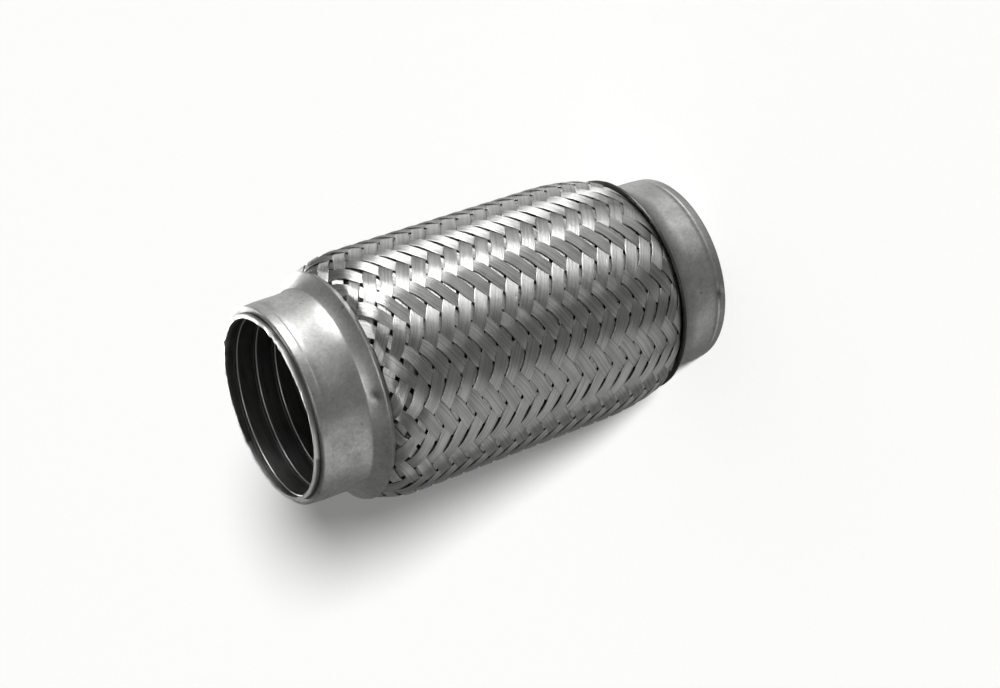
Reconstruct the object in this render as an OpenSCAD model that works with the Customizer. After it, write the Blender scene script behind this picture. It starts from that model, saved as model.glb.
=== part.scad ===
// Braided exhaust flex pipe: an interlocked hose inside a gas-tight bellows, a woven sleeve
// over it, and a pressed cap at each end.
// The axis is Z. The pipe stands on the edge of its rear cap, and the origin is the centre of
// that edge.

/* [Interlock hose] */
// Clear bore of the hose
bore_d = 45; // [40:0.5:55]
// Length from the rear cap's edge to the front end of the hose
overall_l = 120; // [100:1:250]
// Wall of the hose
hose_wall = 0.9; // [0.7:0.05:1.4]
// Length from one turn of the wound strip to the next
hose_pitch = 5.3; // [4:0.1:8]
// Distance of the first seam from the front end of the hose
first_seam = 3.4; // [2:0.1:5]
// Width of the seam between two turns
seam_w = 0.5; // [0.3:0.05:1]
// Depth of the seam
seam_depth = 0.35; // [0.2:0.05:0.45]
// How far the hose stands out of the front cap
hose_proud = 1.4; // [0.4:0.1:3]
// How far the hose stops short of the rear cap's edge
hose_recess = 0.8; // [0.2:0.1:3]

/* [End caps] */
// Sheet thickness of a cap
cap_wall = 1.35; // [1:0.05:2]
// Length of the straight neck, up to the flare
neck_l = 8.5; // [6:0.1:20]
// Step in radius from the neck to the flared rim
flare_rise = 4; // [3.5:0.1:5]
// Radius of the flare's curve
flare_r = 9.2; // [8:0.1:12]
// Length of the tapered lip at the cap's edge
lip_l = 2.5; // [1:0.1:4]
// How much the lip is drawn in at the edge
lip_drop = 0.6; // [0.2:0.05:0.8]

/* [Bellows] */
// Wall of the bellows
bellows_wall = 0.35; // [0.25:0.05:0.5]
// Length of one convolution
bellows_pitch = 5.8; // [4.5:0.1:8]
// Distance of the bellows' ends from the caps' edges
cuff_inset = 4; // [2:0.1:6]
// Room between the convolutions and the hose inside them
root_gap = 1; // [0.5:0.1:2]
// Room between the convolutions and the braid over them
crest_gap = 0.3; // [0.2:0.05:0.6]

/* [Braid] */
// Strands in each of the two lays
strands = 26; // [20:2:30]
// Distance along the axis from one strand to the next in the same lay
strand_pitch = 4.46; // [4:0.02:6]
// Thickness of a strand
strand_t = 0.5; // [0.4:0.02:0.6]
// Step in radius from the caps' rims out to the braid
braid_rise = 2.25; // [1.5:0.05:3]
// How deep the braid's ends are tucked into the caps
tuck_l = 0.7; // [0.5:0.1:1.2]
// Length of the braid's shoulder at the front cap
front_shoulder = 10; // [6:0.5:14]
// Length of the braid's shoulder at the rear cap
rear_shoulder = 18; // [6:0.5:24]
// Width of the open gaps between the strands by the front cap
gap_w = 1.6; // [0.8:0.1:2]

/* [Fits] */
// Clearance between two layers that nest
fit_gap = 0.05; // [0.02:0.01:0.1]

/* [Hidden] */
$fn = 180;

// Facets in each bend of a sheet's half section, and in each shoulder of the braid
bend_steps = 8;
shoulder_steps = 8;

// Radii of the nested layers, from the bore outwards
bore_r = bore_d / 2;
hose_r = bore_r + hose_wall;
cuff_r = hose_r + fit_gap + bellows_wall;
neck_in_r = cuff_r + fit_gap;
neck_r = neck_in_r + cap_wall;
rim_r = neck_r + flare_rise;
braid_r = rim_r + braid_rise;
braid_t = 2 * strand_t;
braid_in_r = braid_r - braid_t;

// Flare of the cap, on its outer and inner face
flare_angle = acos(1 - flare_rise / flare_r);
flare_c = [neck_r + flare_r, neck_l];
flare_in_r = flare_r + cap_wall;

// Heights of the caps' edges and rims
cap_l = neck_l + flare_in_r * sin(flare_angle);
front_edge = overall_l - hose_proud;
rear_rim = cap_l;
front_rim = front_edge - cap_l;

// The braid's ends are tucked into the flares, and keep clear of the trim inside them
tuck_r = flare_c[0] - sqrt(pow(flare_in_r, 2) - pow(cap_l - tuck_l - neck_l, 2)) - fit_gap;
tuck_in_r = tuck_r - braid_t - fit_gap;
braid_from = rear_rim - tuck_l;
braid_to = front_rim + tuck_l;

// The bellows' own flare, which nests in the cap's and ends in a round shoulder under the braid's end
seat_r = tuck_in_r - fit_gap;
nest_r = flare_in_r + fit_gap;
nest_dome_r = 2 * bellows_wall;
nest_angle = acos(1 - (seat_r - cuff_r) / (nest_r + nest_dome_r));
nest_dome_c = [seat_r - nest_dome_r, neck_l + (nest_r + nest_dome_r) * sin(nest_angle)];

// Lattice of the braid's crossings: columns run round it and rows along it
columns = 2 * strands;
row_l = strand_pitch / 2;
// Rows of the lattice before the braid's rear end
lattice_lead = 2.154;
lattice_z = braid_from - lattice_lead * row_l;
rows = ceil((braid_to - lattice_z) / row_l) + 1;
// Turn of the first column about the axis
lattice_turn = 13.9;
// Groove beside each strand, as a share of the strand's spacing
groove = 0.08;
// Height of a strand's crown and of its ends over the grooves
crown_lift = strand_t;
end_lift = 0.4 * strand_t;
// Rows with open gaps, counted back from the front cap
gap_rows = 4;
// The braid swells at once by each cap, by this share of its rise, and then in a round shoulder.
// The powers say how steep both are.
swell_share = 0.35;
swell_power = 12;
round_power = 2;
// Share of a shoulder that the bellows' plain end fills
plain_share = 0.45;

// Inner radius of the braid at a height
function share(z, from, length) = min(max((z - from) / length, 0), 1);
function swell(rest) = 1
    - swell_share * pow(rest, swell_power)
    - (1 - swell_share) * pow(rest, round_power);
function sleeve_r(z) = tuck_in_r + (braid_in_r - tuck_in_r) * min(
    swell(1 - share(z, rear_rim, rear_shoulder)),
    swell(1 - share(z, front_rim, -front_shoulder))
);

// Convolutions of the bellows, each as high as the braid over it allows
function crest_r(z) = min(sleeve_r(z), sleeve_r(z + bellows_pitch)) - crest_gap - bellows_wall / 2;
seat_mid = seat_r - bellows_wall / 2;
root_r = hose_r + root_gap + bellows_wall / 2;
flex_from = rear_rim + plain_share * rear_shoulder;
flex_to = front_rim - plain_share * front_shoulder;
convolutions = floor((flex_to - flex_from) / bellows_pitch);
first_z = (flex_from + flex_to - convolutions * bellows_pitch) / 2;
last_z = first_z + convolutions * bellows_pitch;
end_crest_r = min(crest_r(first_z), crest_r(last_z - bellows_pitch));
bend_r = min(bellows_pitch / 4, (end_crest_r - seat_mid) / 2);

// Points of a bend in a half section, each with the normal that faces away from the axis
function bend(centre, r, from, to, side) = [
    for (i = [0:bend_steps])
        let (a = from + (to - from) * i / bend_steps)
        let (d = [cos(a), sin(a)])
        [centre + r * d, side * d]
];

// A point of a straight stretch that runs along the axis
function along(r, z) = [[r, z], [1, 0]];

// The same path at the front end, in reverse
function at_front(path) = [
    for (i = [len(path) - 1:-1:0])
        [[path[i][0][0], front_edge - path[i][0][1]], [path[i][1][0], -path[i][1][1]]]
];

// Outline of a sheet of thickness t on both sides of a path
function sheet(path, t) = concat(
    [for (v = path) v[0] + v[1] * t / 2],
    [for (i = [len(path) - 1:-1:0]) path[i][0] - path[i][1] * t / 2]
);

// Middle of the cap's sheet, from its edge to the flared rim
cap_path = concat(
    [along(neck_r - cap_wall / 2, 0)],
    bend(flare_c, flare_r + cap_wall / 2, 180, 180 - flare_angle, -1)
);

// Middle of the bellows' sheet, from its rear end to the first convolution
cuff_path = concat(
    [along(cuff_r - bellows_wall / 2, cuff_inset)],
    bend(flare_c, nest_r + bellows_wall / 2, 180, 180 - nest_angle, -1),
    bend(nest_dome_c, nest_dome_r - bellows_wall / 2, -nest_angle, 0, 1)
);
convolution_path = concat(
    bend([seat_mid + bend_r, first_z], bend_r, 180, 90, -1),
    [
        for (i = [0:convolutions - 1])
            let (z = first_z + i * bellows_pitch)
            each concat(
                bend([crest_r(z) - bend_r, z + bellows_pitch / 2], bend_r, -90, 90, 1),
                i == convolutions - 1 ? [] :
                    bend([root_r + bend_r, z + bellows_pitch], bend_r, 270, 90, -1)
            )
    ],
    bend([seat_mid + bend_r, last_z], bend_r, 270, 180, -1)
);

// A point of the weave at a column and row, both of which may lie between crossings.
// Its coordinates are rounded so that neighbouring faces share the very same corners.
function snap(x) = round(x * 1e6) / 1e6;
function weave(column, row, lift) =
    let (a = lattice_turn + 360 / columns * ((column + columns) % columns))
    let (z = lattice_z + row * row_l)
    let (r = sleeve_r(z) + strand_t + lift)
    [snap(r * cos(a)), snap(r * sin(a)), snap(z)];

// The faces of one crossing, which the upper strand covers. Along the strand it reaches from the
// strand's end, where it dives under the next lay, to the middle of its float.
function crossing(column, row) =
    let (lay = column % 4 < 2 ? 1 : -1)
    let (end = column % 2 == 0 ? -1 : 1)
    let (turn = end * lay)
    let (in = 0.5 - groove)
    let (at = function(u, v, lift) weave(column + u + v, row + lay * (u - v), lift))
    let (base = [for (p = [[end, -turn], [end, turn], [-end, turn], [-end, -turn]])
        at(p[0] / 2, p[1] / 2, 0)])
    let (top = [
        at(end * in, -turn * in, end_lift),
        at(end * in, turn * in, end_lift),
        at(-end / 2, turn * in, crown_lift),
        at(-end / 2, -turn * in, crown_lift)
    ])
    let (partner = row - lay * end)
    concat(
        quad(base[0], base[1], top[1], top[0]),
        quad(base[1], base[2], top[2], top[1]),
        quad(base[3], base[0], top[0], top[3]),
        lay > 0 ? quad(top[0], top[1], top[2], top[3]) : quad(top[1], top[2], top[3], top[0]),
        partner < 1 || partner > rows - 1 ? quad(base[2], base[3], top[3], top[2]) : []
    );

// Two triangles that share the diagonal from the first corner to the third
function quad(a, b, c, d) = [[a, b, c], [a, c, d]];

// Edge of the weave at its rear or front end, a zigzag of crossing corners
function edge(column, row, step) = weave(column, (column + row) % 2 == 0 ? row + step : row, 0);

weave_faces = concat(
    [for (column = [0:columns - 1], row = [1:rows - 1]) if ((column + row) % 2 == 0)
        each crossing(column, row)],
    [for (c = [0:columns - 1]) [[0, 0, lattice_z], edge(c, 0, 1), edge(c + 1, 0, 1)]],
    [for (c = [0:columns - 1])
        [[0, 0, lattice_z + rows * row_l], edge(c + 1, rows, -1), edge(c, rows, -1)]]
);

// One pressed cap with its edge at the origin
module cap() {
    rotate_extrude()
        difference() {
            polygon(sheet(cap_path, cap_wall));
            polygon([
                [neck_r - lip_drop, 0],
                [neck_r - lip_drop, -lip_l],
                [neck_r + lip_drop, -lip_l],
                [neck_r + lip_drop, 2 * lip_l]
            ]);
        }
}

module rear_end_cap() {
    color("silver") cap();
}

module front_end_cap() {
    color("silver")
        translate([0, 0, front_edge])
            mirror([0, 0, 1])
                cap();
}

// Solid of revolution that bounds the sleeve inside, at its ends and inside the caps
module sleeve_space() {
    inner = concat(
        [[tuck_in_r, braid_from]],
        [for (i = [0:shoulder_steps]) let (z = rear_rim + rear_shoulder * pow(i / shoulder_steps, 2))
            [sleeve_r(z), z]],
        [for (i = [shoulder_steps:-1:0]) let (z = front_rim - front_shoulder * pow(i / shoulder_steps, 2))
            [sleeve_r(z), z]],
        [[tuck_in_r, braid_to]]
    );
    outer_r = braid_r + braid_t;
    outer = [
        [tuck_r, braid_to],
        [tuck_r, front_rim - fit_gap],
        [outer_r, front_rim - fit_gap],
        [outer_r, rear_rim + fit_gap],
        [tuck_r, rear_rim + fit_gap],
        [tuck_r, braid_from]
    ];
    rotate_extrude() polygon(concat(inner, outer));
}

// Diamond openings where the strands spread by the front cap
module weave_gaps() {
    last_row = floor((front_rim - lattice_z) / row_l) - 1;
    for (row = [last_row - gap_rows + 1:last_row])
        for (column = [0:columns - 1])
            if ((column + row) % 2 != 0)
                rotate([0, 0, lattice_turn + column * 360 / columns])
                    translate([seat_r, 0, lattice_z + row * row_l])
                        rotate([0, 90, 0])
                            cylinder(d = gap_w, h = braid_r + braid_t - seat_r, $fn = 4);
}

module outer_braid() {
    color("gainsboro")
        difference() {
            intersection() {
                polyhedron(
                    points = [for (face = weave_faces) each face],
                    faces = [for (i = [0:len(weave_faces) - 1]) [3 * i, 3 * i + 1, 3 * i + 2]]
                );
                sleeve_space();
            }
            weave_gaps();
        }
}

module bellows() {
    color("darkgray")
        rotate_extrude()
            polygon(sheet(concat(cuff_path, convolution_path, at_front(cuff_path)), bellows_wall));
}

// Strip-wound hose: the seams between its turns show inside, and half a pitch along outside
module interlock_hose() {
    hose_l = overall_l - hose_recess;
    turns = floor((hose_l - first_seam - hose_pitch / 2) / hose_pitch);
    color("gray")
        rotate_extrude()
            difference() {
                translate([bore_r, hose_recess]) square([hose_wall, hose_l]);
                for (i = [0:turns]) {
                    z = overall_l - first_seam - i * hose_pitch - seam_w / 2;
                    translate([bore_r - seam_w, z]) square([seam_w + seam_depth, seam_w]);
                    translate([hose_r - seam_depth, z - hose_pitch / 2])
                        square([seam_depth + seam_w, seam_w]);
                }
            }
}

front_end_cap();
rear_end_cap();
outer_braid();
bellows();
interlock_hose();
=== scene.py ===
import math

import bpy
import numpy as np
from mathutils import Matrix, Vector


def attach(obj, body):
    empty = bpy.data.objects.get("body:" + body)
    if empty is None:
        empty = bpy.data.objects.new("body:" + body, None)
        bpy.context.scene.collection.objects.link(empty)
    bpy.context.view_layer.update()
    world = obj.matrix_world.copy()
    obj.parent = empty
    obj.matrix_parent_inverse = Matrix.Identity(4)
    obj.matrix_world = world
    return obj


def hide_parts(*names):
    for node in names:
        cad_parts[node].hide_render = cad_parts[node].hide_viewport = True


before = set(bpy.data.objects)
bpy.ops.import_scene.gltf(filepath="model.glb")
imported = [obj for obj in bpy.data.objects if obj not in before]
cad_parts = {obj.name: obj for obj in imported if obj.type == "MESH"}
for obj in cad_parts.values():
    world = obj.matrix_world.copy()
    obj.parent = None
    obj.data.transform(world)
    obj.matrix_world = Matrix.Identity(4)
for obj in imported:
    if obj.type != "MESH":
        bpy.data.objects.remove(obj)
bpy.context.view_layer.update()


# Interlock hose: the pipe's inner tube, wound on a mandrel from one long stainless strip whose folded
# edges hook into the turn before. The seam between two turns runs round the bore as a helix, and the
# sawn front end stands a little out of the cap.
mm = 0.001
hose_from, hose_to = 0.8, 120.0
hose_pitch = 5.3
hose_turns = math.ceil((hose_to - hose_from) / hose_pitch) + 3
hose_seam_z = 117.75
hose_seam_turn = math.radians(100)
hose_facets = 128
weld_gap = 0.002 * mm


def drawn_line(name, points):
    """Draws a line in the plane y = 0 from (radius, height) points in mm, one extrude after another."""
    places = [Vector((r * mm, 0, z * mm)) for r, z in points]
    bpy.ops.object.select_all(action="DESELECT")
    bpy.ops.mesh.primitive_plane_add(size=mm)
    line = bpy.context.object
    line.name = line.data.name = name
    bpy.ops.object.mode_set(mode="EDIT")
    bpy.ops.mesh.select_all(action="SELECT")
    bpy.ops.mesh.merge(type="CENTER")
    bpy.ops.transform.translate(value=places[0])
    for here, there in zip(places, places[1:]):
        bpy.ops.mesh.extrude_region_move(TRANSFORM_OT_translate={"value": there - here})
    bpy.ops.object.mode_set(mode="OBJECT")
    return line


def coordinates(piece):
    """The piece's vertices as rows of x, y and z, in mm."""
    flat = np.zeros(len(piece.data.vertices) * 3)
    piece.data.vertices.foreach_get("co", flat)
    return flat.reshape(-1, 3) / mm


def reshape(piece, r, a, z):
    """Moves the piece's vertices to new radii, turns and heights, in mm and radians."""
    places = np.stack([r * np.cos(a), r * np.sin(a), z], 1)
    piece.data.vertices.foreach_set("co", (places * mm).ravel())
    piece.data.update()


def mark(piece, name, values):
    """Gives each vertex a number of its own, which a material reads by this name."""
    piece.data.attributes.new(name, "FLOAT", "POINT").data.foreach_set("value", values)


def wind(line):
    """Winds one turn's section up the whole hose."""
    winding = line.modifiers.new("winding", "SCREW")
    winding.axis = "Z"
    winding.screw_offset = hose_pitch * mm
    winding.iterations = hose_turns
    winding.steps = winding.render_steps = hose_facets
    bpy.ops.object.modifier_apply(modifier=winding.name)
    return line


# One turn of the bore's face, from the bottom of a seam to the bottom of the next
bore_line = [(22.95, 0), (22.93, 0.16), (22.75, 0.24), (22.58, 0.31), (22.51, 0.42), (22.5, 0.6),
             (22.5, 1.8), (22.5, 3.4), (22.5, 4.7), (22.51, 4.88), (22.58, 4.99), (22.75, 5.06),
             (22.93, 5.14), (22.95, 5.3)]
# One turn of the outer face, whose groove lies half a pitch along
back_line = [(23.4, 0), (23.4, 1.2), (23.4, 2.3), (23.34, 2.45), (23.1, 2.5), (23.1, 2.8),
             (23.34, 2.85), (23.4, 3.0), (23.4, 4.1), (23.4, 5.3)]
hose_foot = hose_seam_z - hose_pitch * (hose_turns - 1)
back = wind(drawn_line("hose_back", [(r, z + hose_foot) for r, z in back_line]))
hose = wind(drawn_line("interlock_hose_winding", [(r, z + hose_foot) for r, z in bore_line]))
back.select_set(True)
bpy.ops.object.join()
bpy.ops.object.mode_set(mode="EDIT")
bpy.ops.mesh.select_all(action="SELECT")
bpy.ops.mesh.remove_doubles(threshold=weld_gap)
bpy.ops.transform.rotate(value=-hose_seam_turn, orient_axis="Z", center_override=(0, 0, 0))
saw_threshold = 1e-4 * mm
bpy.ops.mesh.select_all(action="SELECT")
bpy.ops.mesh.bisect(plane_co=(0, 0, hose_from * mm), plane_no=(0, 0, 1), clear_inner=True,
                    threshold=saw_threshold)
bpy.ops.mesh.select_all(action="SELECT")
bpy.ops.mesh.bisect(plane_co=(0, 0, hose_to * mm), plane_no=(0, 0, 1), clear_outer=True,
                    threshold=saw_threshold)
# The two walls are closed to each other round both cut ends. Only edges that lie in the cut are picked: a
# wider reach takes in a vertex just off it, and the fill then covers the mouth.
in_the_cut = 0.0002
bpy.ops.mesh.select_mode(type="EDGE")
for cut in (hose_from, hose_to):
    bpy.ops.object.mode_set(mode="OBJECT")
    off_cut = np.abs(coordinates(hose)[:, 2] - cut)
    bpy.ops.object.mode_set(mode="EDIT")
    bpy.ops.mesh.select_all(action="DESELECT")
    bpy.ops.object.mode_set(mode="OBJECT")
    for edge in hose.data.edges:
        edge.select = bool(max(off_cut[v] for v in edge.vertices) < in_the_cut)
    bpy.ops.object.mode_set(mode="EDIT")
    bpy.ops.mesh.fill()
bpy.ops.mesh.select_mode(type="VERT")
bpy.ops.mesh.select_all(action="SELECT")
bpy.ops.mesh.normals_make_consistent(inside=False)
bpy.ops.object.mode_set(mode="OBJECT")
# The saw has torn the strip's thin end: it is a little uneven all round, ragged over one stretch, and a
# burr sticks out on the far side
torn_l, torn_turn, torn_spread = 1.1, -46, 9
burr_turn, burr_spread, burr_out = 35, 2.2, 0.7
saw_marks, tear_depth, tear_rag, deepest_tear = 0.07, 0.25, 0.2, 0.7
curl_out, curl_rag = 0.2, 0.1
x, y, z = coordinates(hose).T
r, a = np.hypot(x, y), np.arctan2(y, x)
at_end = np.clip((z - hose_to + torn_l) / torn_l, 0, 1)
# The sawn end is bare bright metal and the folds get a painted highlight; an attribute marks both
fold_from_r, fold_to_r, fold_highlight, end_share = 22.505, 22.7, 0.8, 0.7
bare_end_and_fold_highlight = np.where((r > fold_from_r) & (r < fold_to_r), fold_highlight, 0)
bare_end_and_fold_highlight[at_end > end_share] = 1
mark(hose, "bare_end_and_fold_highlight", bare_end_and_fold_highlight)
torn = np.exp(-((np.degrees(a) - torn_turn) / torn_spread) ** 2)
burr = np.exp(-((np.degrees(a) - burr_turn) / burr_spread) ** 2)
uneven = np.sin(17 * a + 1) + np.sin(29 * a + 2.1) + np.sin(53 * a + 0.7)
ragged = np.sin(71 * a) + np.sin(113 * a + 2)
tear = np.clip(saw_marks * uneven + torn * (tear_depth + tear_rag * ragged), 0, deepest_tear)
z = z - at_end * tear * (1 - burr)
r = r + at_end * (torn * (curl_out + curl_rag * ragged) + burr_out * burr)
reshape(hose, r, a, z)
bpy.ops.object.shade_smooth_by_angle(angle=math.radians(50))


def linear(code):
    """An sRGB hex colour as linear red, green, blue and alpha."""
    shares = [int(code[i:i + 2], 16) / 255 for i in (1, 3, 5)]
    return [s / 12.92 if s <= 0.04045 else ((s + 0.055) / 1.055) ** 2.4 for s in shares] + [1]


def add_node(material, kind, inputs, **settings):
    """Adds a node. An input is a plain value, or another node's output."""
    node = material.node_tree.nodes.new(kind)
    for name, value in settings.items():
        setattr(node, name, value)
    for name, value in inputs.items():
        if isinstance(value, bpy.types.NodeSocket):
            material.node_tree.links.new(value, node.inputs[name])
        else:
            node.inputs[name].default_value = value
    return node


# Stainless strip, rolled and wound dry: its greys are painted dark as shade inside the bore, with streaks
# and patches along the winding, a bare bright sawn end, and a painted highlight on the folds
strip_steel = bpy.data.materials.new("rolled_stainless_strip")
strip_steel.use_nodes = True
shader = strip_steel.node_tree.nodes["Principled BSDF"]
shader.inputs["Metallic"].default_value = 1
place = add_node(strip_steel, "ShaderNodeTexCoord", {})
streak_mm, streak_stretch = 6, 12
streak_place = add_node(strip_steel, "ShaderNodeMapping", {
    "Vector": place.outputs["Object"], "Scale": (1, 1, streak_stretch)})
streaks = add_node(strip_steel, "ShaderNodeTexNoise", {
    "Vector": streak_place.outputs["Vector"], "Scale": 1 / (streak_mm * mm),
    "Detail": 5, "Roughness": 0.6})
# Painted shade: both greys are kept dark, as shade for the inside of the bore
shade = add_node(strip_steel, "ShaderNodeMix", {
    "Factor": streaks.outputs["Fac"], "A": linear("#5c5c5b"), "B": linear("#949492")},
    data_type="RGBA")
dull = add_node(strip_steel, "ShaderNodeMapRange", {
    "Value": streaks.outputs["Fac"], "From Min": 0.3, "From Max": 0.7, "To Min": 0.28, "To Max": 0.5})
# The sawn end is brightened as bare metal, and the folds' edges as a painted highlight
bare_end_and_painted_folds = add_node(strip_steel, "ShaderNodeAttribute", {}, attribute_name="bare_end_and_fold_highlight")
end_and_fold_brightened = add_node(strip_steel, "ShaderNodeMix", {
    "Factor": bare_end_and_painted_folds.outputs["Fac"], "A": shade.outputs["Result"], "B": linear("#d4d4d2")},
    data_type="RGBA")
strip_steel.node_tree.links.new(end_and_fold_brightened.outputs["Result"], shader.inputs["Base Color"])
strip_steel.node_tree.links.new(dull.outputs["Result"], shader.inputs["Roughness"])
hose.data.materials.append(strip_steel)
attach(hose, "root")
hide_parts("interlock_hose")


# Bellows: the gas-tight tube of thin stainless sheet, pressed into deep round folds. It shows only as
# bright curves behind the open gaps of the braid, so the CAD solid stays and gets its finish here.
# Stainless sheet, pressed bright: smooth and shiny, with faint smears from handling.
bellows_steel = bpy.data.materials.new("bright_pressed_stainless_sheet")
bellows_steel.use_nodes = True
shader = bellows_steel.node_tree.nodes["Principled BSDF"]
shader.inputs["Metallic"].default_value = 1
place = add_node(bellows_steel, "ShaderNodeTexCoord", {})
smear_mm = 5
smears = add_node(bellows_steel, "ShaderNodeTexNoise", {
    "Vector": place.outputs["Object"], "Scale": 1 / (smear_mm * mm), "Detail": 4})
shade = add_node(bellows_steel, "ShaderNodeMix", {
    "Factor": smears.outputs["Fac"], "A": linear("#8e8e8c"), "B": linear("#b2b2b0")},
    data_type="RGBA")
dull = add_node(bellows_steel, "ShaderNodeMapRange", {
    "Value": smears.outputs["Fac"], "From Min": 0.3, "From Max": 0.7, "To Min": 0.2, "To Max": 0.36})
bellows_steel.node_tree.links.new(shade.outputs["Result"], shader.inputs["Base Color"])
bellows_steel.node_tree.links.new(dull.outputs["Result"], shader.inputs["Roughness"])
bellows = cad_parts["bellows"]
bellows.data.materials.clear()
bellows.data.materials.append(bellows_steel)


# Outer braid: flat strands of nine bright drawn wires each, woven over the bellows on a braiding
# machine, 26 strands one way and 26 the other. Each strand passes over two and under two, and both ends
# are tucked under the caps' flared rims.
wires = 9
wire_d = 0.42
strands_each_way = 26
columns = 2 * strands_each_way
row_l = 2.23
lattice_z = 11.70
lattice_turn = math.radians(13.9)
braid_from, braid_to = 16.0, 102.05
sleeve_in_r, tuck_in_r = 30.45, 26.43
rear_rim, rear_shoulder = 16.5, 18.7
front_rim, front_shoulder = 101.4, 10.0
sudden_swell = 0.35
layer_t = 0.5
wave = 0.29
rings = 200
# Half a strand's width as a share of the strands' spacing, what it loses where the strand dives and by the
# front cap, and the length of the stretch there
half_w, dive_loss, front_loss, parted_l = 0.468, 0.17, 0.16, 12
# How far a strand sways to either side, in radians, how much more by the front cap, and over what length
sway_turn, front_sway, loose_l = 0.0035, 1.5, 15


def sleeve_r(z):
    """Inner radius of the braid at a height: it swells at once by each cap, then in a round shoulder."""
    rear = 1 - np.clip((z - rear_rim) / rear_shoulder, 0, 1)
    front = 1 - np.clip((front_rim - z) / front_shoulder, 0, 1)
    rest = np.maximum(rear, front)
    tucked = np.clip(rear_rim - z, 0, None)
    swell = 1 - sudden_swell * rest ** 12 - (1 - sudden_swell) * rest ** 2
    return tuck_in_r - tucked + (sleeve_in_r - tuck_in_r) * swell


# Section of a strand across its wires: place across it from -1 to 1, and height in mm. Each wire has a
# valley before it and two points on its crown, and the underside is flat.
valley, crown, strand_edge, underside_w = 0.6, 0.9, 0.4, 0.84
across, height = [], []
for i in range(wires):
    for step, share in ((-1, valley), (-0.5, crown), (0.5, crown)):
        across.append((2 * i + 1 + step) / wires - 1)
        height.append(wire_d / 2 * share)
points_each_wire = len(across) // wires
across.append(1)
height.append(wire_d / 2 * strand_edge)
for below in (1, 0.5, 0, -0.5, -1):
    across.append(below * underside_w)
    height.append(-wire_d / 2)
across, height = np.array(across), np.array(height)


def strand(name, lay, first_column):
    """One strand from cap to cap, and its twelve copies round the pipe. lay is 1 where it climbs
    like a right-hand thread and -1 where it climbs the other way."""
    bpy.ops.object.select_all(action="DESELECT")
    bpy.ops.mesh.primitive_cylinder_add(vertices=len(across), radius=1, depth=2, end_fill_type="NGON")
    piece = bpy.context.object
    piece.name = piece.data.name = name
    ends = coordinates(piece)[:, 2]
    bpy.ops.object.mode_set(mode="EDIT")
    bpy.ops.mesh.select_mode(type="EDGE")
    bpy.ops.mesh.select_all(action="DESELECT")
    bpy.ops.object.mode_set(mode="OBJECT")
    for edge in piece.data.edges:
        low, high = edge.vertices
        edge.select = ends[low] * ends[high] < 0
    bpy.ops.object.mode_set(mode="EDIT")
    bpy.ops.mesh.subdivide(number_cuts=rings - 1)
    bpy.ops.mesh.select_mode(type="VERT")
    bpy.ops.object.mode_set(mode="OBJECT")

    # The cylinder's corners become the section's points, and its height from -1 to 1 the braid's
    blank = coordinates(piece) * mm
    turn = np.arctan2(blank[:, 1], blank[:, 0]) - math.pi / 2
    corner = np.rint(turn * len(across) / (2 * math.pi)).astype(int) % len(across)
    z = braid_from + (braid_to - braid_from) * (blank[:, 2] + 1) / 2
    row = (z - lattice_z) / row_l
    # The wires bunch where the strand dives under, and the strands part where they near the front cap
    middle = first_column + lay * row
    dive = np.abs(np.cos(math.pi / 2 * (middle + 0.5)))
    parted = np.clip((z - front_rim) / parted_l + 1, 0, 1)
    half = half_w * (1 - dive_loss * dive ** 2) * (1 - front_loss * parted)
    v = across[corner] * half
    over = lay * wave * np.sin(math.pi / 2 * (middle + v + 0.5))
    a = lattice_turn + 2 * math.pi / columns * (middle + 2 * v)
    r = sleeve_r(z) + layer_t + over + height[corner]
    reshape(piece, r, a, z)

    # Two strands of the same lay have the opposite ups and downs, so every second one is a copy of this
    bpy.ops.object.empty_add(rotation=(0, 0, 4 * math.pi / strands_each_way))
    step = bpy.context.object
    bpy.ops.object.select_all(action="DESELECT")
    bpy.context.view_layer.objects.active = piece
    piece.select_set(True)
    copies = piece.modifiers.new("round_the_pipe", "ARRAY")
    copies.count = strands_each_way // 2
    copies.use_relative_offset = False
    copies.use_object_offset = True
    copies.offset_object = step
    bpy.ops.object.modifier_apply(modifier=copies.name)
    bpy.data.objects.remove(step)

    # No strand lies quite true: each sways sideways as it runs, and more so by the front cap
    x, y, z = coordinates(piece).T
    r, a = np.hypot(x, y), np.arctan2(y, x)
    seed = lay * 0.9 + first_column
    loose = sway_turn * (1 + front_sway * np.clip((z - front_rim) / loose_l + 1, 0, 1))
    a = a + loose * (np.sin(9 * a + 0.23 * z + seed) + np.sin(14 * a - 0.31 * z + 2.3 * seed)
                     + 0.6 * np.sin(23 * a + 0.5 * z + 4.1 * seed))
    reshape(piece, r, a, z)

    # Each wire has a lustre of its own, from 0 to 1
    strand_no, vertex_no = np.divmod(np.arange(len(piece.data.vertices)), len(corner))
    wire_no = corner[vertex_no] // points_each_wire
    mark(piece, "lustre", np.sin(12.9 * strand_no + 78.2 * wire_no + 37.7 * seed) * 437.5 % 1)
    # Drawing marks run along a wire, so its shine spreads across it, and this says which way that is
    climb = lay * 2 * math.pi / columns / row_l
    spread = np.stack([np.sin(a), -np.cos(a), climb * r], 1)
    across_wires = piece.data.attributes.new("across_wires", "FLOAT_VECTOR", "POINT")
    across_wires.data.foreach_set("vector", spread.ravel())
    bpy.ops.object.mode_set(mode="EDIT")
    bpy.ops.mesh.select_all(action="SELECT")
    bpy.ops.mesh.normals_make_consistent(inside=False)
    bpy.ops.object.mode_set(mode="OBJECT")
    bpy.ops.object.shade_smooth_by_angle(angle=math.radians(75))
    return piece


braid = [strand("braid_right_hand_1", 1, 0), strand("braid_right_hand_2", 1, 2),
         strand("braid_left_hand_1", -1, 0), strand("braid_left_hand_2", -1, 2)]

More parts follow.
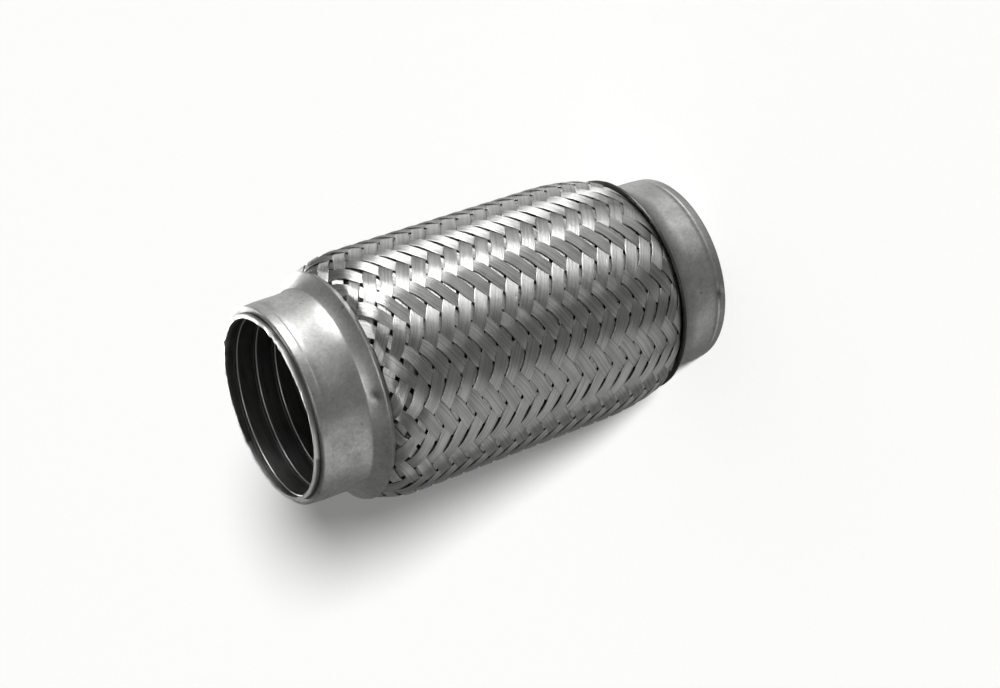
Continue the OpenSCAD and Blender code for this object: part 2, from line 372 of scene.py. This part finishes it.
# Stainless wire, drawn bright through a die: shiny, with light that fans out across the wires, and with
# some wires brighter than their neighbours, so that a strand shows fine lines
wire_steel = bpy.data.materials.new("bright_drawn_stainless_wire")
wire_steel.use_nodes = True
shader = wire_steel.node_tree.nodes["Principled BSDF"]
shader.inputs["Metallic"].default_value = 1
shader.inputs["Anisotropic"].default_value = 0.9
place = add_node(wire_steel, "ShaderNodeTexCoord", {})
patch_mm = 4
patches = add_node(wire_steel, "ShaderNodeTexNoise", {
    "Vector": place.outputs["Object"], "Scale": 1 / (patch_mm * mm), "Detail": 4, "Roughness": 0.6})
lustre = add_node(wire_steel, "ShaderNodeAttribute", {}, attribute_name="lustre")
wear = add_node(wire_steel, "ShaderNodeMath", {
    0: patches.outputs["Fac"], 1: lustre.outputs["Fac"]}, operation="ADD")
bright = add_node(wire_steel, "ShaderNodeMapRange", {
    "Value": wear.outputs["Value"], "From Min": 0.35, "From Max": 1.65, "To Min": 0, "To Max": 1})
shade = add_node(wire_steel, "ShaderNodeMix", {
    "Factor": bright.outputs["Result"], "A": linear("#a0a09e"), "B": linear("#c4c4c2")},
    data_type="RGBA")
dull = add_node(wire_steel, "ShaderNodeMapRange", {
    "Value": wear.outputs["Value"], "From Min": 0.35, "From Max": 1.65, "To Min": 0.42, "To Max": 0.34})
fan = add_node(wire_steel, "ShaderNodeAttribute", {}, attribute_name="across_wires")
wire_steel.node_tree.links.new(shade.outputs["Result"], shader.inputs["Base Color"])
wire_steel.node_tree.links.new(dull.outputs["Result"], shader.inputs["Roughness"])
wire_steel.node_tree.links.new(fan.outputs["Vector"], shader.inputs["Tangent"])
for piece in braid:
    piece.data.materials.append(wire_steel)
    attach(piece, "root")
    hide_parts("outer_braid")


# End caps: rings pressed from stainless sheet, with a straight neck that an exhaust tube is welded to and
# a flared rim that clamps the braid's end on the bellows. The neck's edge is drawn in, with a shallow
# groove behind it.
neck_in_r, neck_r = 23.85, 25.2
wall = neck_r - neck_in_r
front_edge = 118.6
hose_clearance_r = 23.46
cap_facets = 240
# The flare's bends in the half section, each with its centre, radius, and first and last angle: a slow one
# from the neck, a tight crease and a wide one out to the rim
slow_c, slow_r, slow_from, slow_to = (38.2, 8.95), 13.0, 180, 164.5
crease_c, crease_r, crease_from, crease_to = (26.954, 12.175), 1.3, 164, 142.5
wide_c, wide_r, wide_from = (36.843, 4.448), 13.85, 142
# The rim's chamfer in mm, and the angle that it takes up on the inside and the outside
rim_chamfer, inner_ease, outer_ease = 0.1, 0.6, 0.8
# The neck's inside, which draws in to the hose, the rounds of its edge, and its straight outside
draw_in_from, draw_in_to = 3.0, 2.2
inner_round, outer_round, outer_round_r = 0.15, 0.35, 24.6
straight_from, straight_to = 3.7, 8.7
# The outside of the neck behind its lip: the drawn-in edge, then the groove
lip_line = [(24.97, 0.8), (25.04, 1.4), (25.1, 2.0), (25.11, 2.2), (25.08, 2.34), (25.04, 2.46),
            (25.05, 2.62), (25.08, 2.85), (25.12, 3.1), (25.17, 3.4)]
# The dent in a cap and its painted shade, the rim's unevenness and where the rim's painted shade starts
dent_w, dent_l, dent_depth, dent_painted_shade = 1.1, 0.8, 0.5, 0.7
uneven_from_r, uneven_over, uneven_depth = 28, 1.2, 0.05
rim_shade_from_r, rim_shade_over = 27.9, 0.5


def bend(centre, r, start, end, steps):
    """Points of a bend in the half section, from one angle to another in degrees."""
    angles = np.radians(np.linspace(start, end, steps))
    return [(centre[0] + r * math.cos(a), centre[1] + r * math.sin(a)) for a in angles]


def cap_section(rim_turn, rim_wall):
    """Half section of a cap from its neck's edge: the angle that the rim ends at, and its wall there."""
    cut = 180 - rim_turn
    rim_inside = []
    for a, t in zip(np.linspace(cut + inner_ease, wide_from, 10), np.linspace(rim_wall, wall, 10)):
        rim_inside += bend(wide_c, wide_r + t, a, a, 1)
    return [
        (neck_in_r, draw_in_from), (hose_clearance_r, draw_in_to),
        *bend((hose_clearance_r + inner_round, inner_round), inner_round, 180, 270, 4),
        *bend((outer_round_r, outer_round), outer_round, 270, 350, 5),
        *lip_line,
        *((neck_r, z) for z in np.linspace(straight_from, straight_to, 8)),
        *bend(slow_c, slow_r, slow_from, slow_to, 9),
        *bend(crease_c, crease_r, crease_from, crease_to, 8),
        *bend(wide_c, wide_r, wide_from, cut + outer_ease, 11),
        *bend(wide_c, wide_r + rim_chamfer, cut, cut, 1),
        *bend(wide_c, wide_r + rim_wall / 2, cut, cut, 1),
        *bend(wide_c, wide_r + rim_wall - rim_chamfer, cut, cut, 1),
        *rim_inside,
        *bend(crease_c, crease_r + wall, crease_to, crease_from, 6),
        *bend(slow_c, slow_r + wall, slow_to, slow_from, 6),
    ]


def cap(name, section, dent_turn, dent_z, painted_shade):
    """Turns a closed half section into a cap with one dent. Its cut rim is uneven. Painted shade darkens
    the dent, and the rim by the last argument.
    """
    piece = drawn_line(name, section + section[:1])
    bpy.ops.object.mode_set(mode="EDIT")
    bpy.ops.mesh.select_all(action="SELECT")
    bpy.ops.mesh.remove_doubles(threshold=weld_gap)
    bpy.ops.mesh.select_all(action="SELECT")
    bpy.ops.mesh.spin(steps=cap_facets, angle=2 * math.pi, center=(0, 0, 0), axis=(0, 0, 1))
    bpy.ops.mesh.select_all(action="SELECT")
    bpy.ops.mesh.remove_doubles(threshold=weld_gap)
    bpy.ops.mesh.normals_make_consistent(inside=False)
    bpy.ops.object.mode_set(mode="OBJECT")
    x, y, z = coordinates(piece).T
    r, a = np.hypot(x, y), np.arctan2(y, x)
    off_turn = np.angle(np.exp(1j * (a - math.radians(dent_turn)))) * r
    dent = np.exp(-(off_turn / dent_w) ** 2 - ((z - dent_z) / dent_l) ** 2)
    rim = np.clip((r - uneven_from_r) / uneven_over, 0, 1)
    uneven = (np.sin(7 * a + dent_turn) + 0.6 * np.sin(19 * a) + 0.5 * np.sin(37 * a + 1)
              + 0.4 * np.sin(83 * a))
    r = r - dent_depth * dent - uneven_depth * rim * (1 + uneven)
    reshape(piece, r, a, z)
    # Painted shade: the rear rim is darkened for the shadowed gap behind it, and every dent for the shade
    # in it
    rim_painted_shade = painted_shade * np.clip((r - rim_shade_from_r) / rim_shade_over, 0, 1)
    mark(piece, "painted_shade", np.maximum(rim_painted_shade, dent_painted_shade * dent))
    bpy.ops.object.shade_smooth_by_angle(angle=math.radians(50))
    return piece


rear_section = cap_section(rim_turn=54.2, rim_wall=0.6)
front_section = [(r, front_edge - z) for r, z in cap_section(rim_turn=56.5, rim_wall=wall)]
rear_cap = cap("rear_cap_pressing", rear_section, dent_turn=-114.3, dent_z=1.75, painted_shade=0.9)
front_cap = cap("front_cap_pressing", front_section, dent_turn=-101.5, dent_z=104.1, painted_shade=0)

# Stainless sheet, deep drawn and left satin: soft broad highlights, a cloudy grain, faint rings from the
# drawing die, dark specks, a patch scraped bright on the front neck, and painted shade in the dents and
# round the rear rim
sheet_steel = bpy.data.materials.new("satin_pressed_stainless_sheet")
sheet_steel.use_nodes = True
shader = sheet_steel.node_tree.nodes["Principled BSDF"]
shader.inputs["Metallic"].default_value = 1
place = add_node(sheet_steel, "ShaderNodeTexCoord", {})
cloud_mm, grain_mm, ring_mm, speck_mm, scrape_mm = 6, 0.8, 0.6, 5, 0.7
ring_stretch, grain_share = 0.04, 0.4
scrape_place, scrape_r = Vector((9, -23.6, 109)), 4.5
scrape_height, relief_mm = 6, 0.05
clouds = add_node(sheet_steel, "ShaderNodeTexNoise", {
    "Vector": place.outputs["Object"], "Scale": 1 / (cloud_mm * mm), "Detail": 6, "Roughness": 0.65})
grain = add_node(sheet_steel, "ShaderNodeTexNoise", {
    "Vector": place.outputs["Object"], "Scale": 1 / (grain_mm * mm), "Detail": 3, "Roughness": 0.7})
ring_place = add_node(sheet_steel, "ShaderNodeMapping", {
    "Vector": place.outputs["Object"], "Scale": (ring_stretch, ring_stretch, 1)})
rings_drawn = add_node(sheet_steel, "ShaderNodeTexNoise", {
    "Vector": ring_place.outputs["Vector"], "Scale": 1 / (ring_mm * mm), "Detail": 4, "Roughness": 0.6})
mottle = add_node(sheet_steel, "ShaderNodeMix", {
    "Factor": grain_share, "A": clouds.outputs["Fac"], "B": grain.outputs["Fac"]})
tone = add_node(sheet_steel, "ShaderNodeMapRange", {
    "Value": mottle.outputs["Result"], "From Min": 0.32, "From Max": 0.68, "To Min": 0, "To Max": 1})
satin = add_node(sheet_steel, "ShaderNodeMix", {
    "Factor": tone.outputs["Result"], "A": linear("#969694"), "B": linear("#cacac8")},
    data_type="RGBA")
specks = add_node(sheet_steel, "ShaderNodeTexVoronoi", {
    "Vector": place.outputs["Object"], "Scale": 1 / (speck_mm * mm)})
speck = add_node(sheet_steel, "ShaderNodeMapRange", {
    "Value": specks.outputs["Distance"], "From Min": 0.03, "From Max": 0.1, "To Min": 0.6, "To Max": 0})
specked = add_node(sheet_steel, "ShaderNodeMix", {
    "Factor": speck.outputs["Result"], "A": satin.outputs["Result"], "B": linear("#3c3c3b")},
    data_type="RGBA")
# Painted shade, darkening the rear rim and the dents
painted_shade = add_node(sheet_steel, "ShaderNodeAttribute", {}, attribute_name="painted_shade")
shade = add_node(sheet_steel, "ShaderNodeMix", {
    "Factor": painted_shade.outputs["Fac"], "A": specked.outputs["Result"], "B": linear("#3a3a39")},
    data_type="RGBA")
from_scrape = add_node(sheet_steel, "ShaderNodeVectorMath", {
    0: place.outputs["Object"], 1: scrape_place * mm}, operation="DISTANCE")
near_scrape = add_node(sheet_steel, "ShaderNodeMapRange", {
    "Value": from_scrape.outputs["Value"], "From Min": 0, "From Max": scrape_r * mm,
    "To Min": 1, "To Max": 0})
scrapes = add_node(sheet_steel, "ShaderNodeTexNoise", {
    "Vector": place.outputs["Object"], "Scale": 1 / (scrape_mm * mm), "Detail": 2})
scraped = add_node(sheet_steel, "ShaderNodeMath", {
    0: near_scrape.outputs["Result"], 1: scrapes.outputs["Fac"]}, operation="MULTIPLY")
hills = add_node(sheet_steel, "ShaderNodeMath", {
    0: scraped.outputs["Value"], 1: scrape_height, 2: rings_drawn.outputs["Fac"]},
    operation="MULTIPLY_ADD")
dull = add_node(sheet_steel, "ShaderNodeMapRange", {
    "Value": mottle.outputs["Result"], "From Min": 0.35, "From Max": 0.65,
    "To Min": 0.48, "To Max": 0.36})
relief = add_node(sheet_steel, "ShaderNodeBump", {
    "Height": hills.outputs["Value"], "Strength": 0.14, "Distance": relief_mm * mm})
sheet_steel.node_tree.links.new(shade.outputs["Result"], shader.inputs["Base Color"])
sheet_steel.node_tree.links.new(dull.outputs["Result"], shader.inputs["Roughness"])
sheet_steel.node_tree.links.new(relief.outputs["Normal"], shader.inputs["Normal"])
for piece, node in ((rear_cap, "rear_end_cap"), (front_cap, "front_end_cap")):
    piece.data.materials.append(sheet_steel)
    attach(piece, "root")
    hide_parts(node)


# Stage: a wide sheet of white paper that the pipe stands on, under studio lamps. The steel doesn't mirror
# the sheet, and lamps that stand below it still shine through it onto the steel.
# Uncoated white paper: an even pale surface with no shine.
floor_w = 6000
bpy.ops.object.select_all(action="DESELECT")
bpy.ops.mesh.primitive_plane_add(size=floor_w * mm)
floor = bpy.context.object
floor.name = "floor"
floor.visible_glossy = False
floor.visible_shadow = False
paper = bpy.data.materials.new("matt_white_paper")
paper.use_nodes = True
shader = paper.node_tree.nodes["Principled BSDF"]
shader.inputs["Base Color"].default_value = linear("#f4f4f3")
shader.inputs["Roughness"].default_value = 1
shader.inputs["Specular IOR Level"].default_value = 0
floor.data.materials.append(paper)


def softbox(name, place, aim, width, length, power):
    """A studio lamp with a rectangular front, at a place and towards an aim, both in mm. It shows in the
    steel alone: the floor and the camera don't see it."""
    bpy.ops.object.light_add(type="AREA", location=[x * mm for x in place])
    lamp = bpy.context.object
    lamp.name = name
    lamp.data.shape = "RECTANGLE"
    lamp.data.size, lamp.data.size_y = width * mm, length * mm
    lamp.data.energy = power
    way = Vector(place) - Vector(aim)
    lamp.rotation_euler = way.to_track_quat("Z", "Y").to_euler()
    lamp.visible_diffuse = lamp.visible_camera = False
    return lamp


centre = (0, 0, 60)
softbox("key_over_the_mouth", (456, -184, 150), centre, 235, 320, 2.05)
softbox("key_behind_the_pipe", (160, 500, 170), centre, 300, 320, 1.8)
softbox("card_behind_the_pipe", (380, 330, -180), centre, 420, 380, 0.32)
softbox("card_by_the_front_neck", (441, -196, -105), (0, 0, 110), 650, 90, 0.24)
softbox("card_by_the_rear_neck", (352, -275, -255), (0, 0, 8), 960, 95, 0.54)
softbox("card_under_the_pipe", (-447, -145, -60), centre, 560, 400, 0.38)
softbox("lamp_into_the_mouth", (-60, -340, 430), (0, 0, 115), 200, 120, 0.3)
# The floor has a wide lamp of its own, and a low soft sun that lays the shadow along the pipe's underside
over_floor = softbox("lamp_over_the_floor", (50, 350, 1300), (50, 350, 0), 2600, 2600, 2)
over_floor.visible_glossy = False
over_floor.visible_diffuse = True
sun_way = Vector((46, -330, 120))
bpy.ops.object.light_add(type="SUN")
low_sun = bpy.context.object
low_sun.name = "low_sun"
low_sun.data.energy = 7.7
low_sun.data.angle = math.radians(7)
low_sun.rotation_euler = sun_way.to_track_quat("Z", "Y").to_euler()
low_sun.visible_glossy = False

world = bpy.context.scene.world or bpy.data.worlds.new("studio")
bpy.context.scene.world = world
world.use_nodes = True
world.node_tree.nodes["Background"].inputs["Color"].default_value = linear("#c8c8c8")
world.node_tree.nodes["Background"].inputs["Strength"].default_value = 0.35
bpy.context.scene.view_settings.view_transform = "Standard"

# Camera: where the photograph was taken from. The photograph shows the pipe on its side, so the camera
# is rolled to show the standing pipe the same way.
right = Vector((-0.3290373, -0.44221655, -0.8343734))
up = Vector((0.94428304, -0.14659488, -0.2946854))
back_way = Vector((0.00799989, -0.88484714, 0.46581277))
camera_place = Vector((0, -442.689, 288.049))
bpy.ops.object.camera_add()
camera = bpy.context.object
turn = Matrix((right, up, back_way)).transposed().to_4x4()
camera.matrix_world = Matrix.Translation(camera_place * mm) @ turn
camera.data.sensor_fit = "HORIZONTAL"
camera.data.sensor_width = 36
camera.data.lens = 70.765
bpy.context.scene.camera = camera
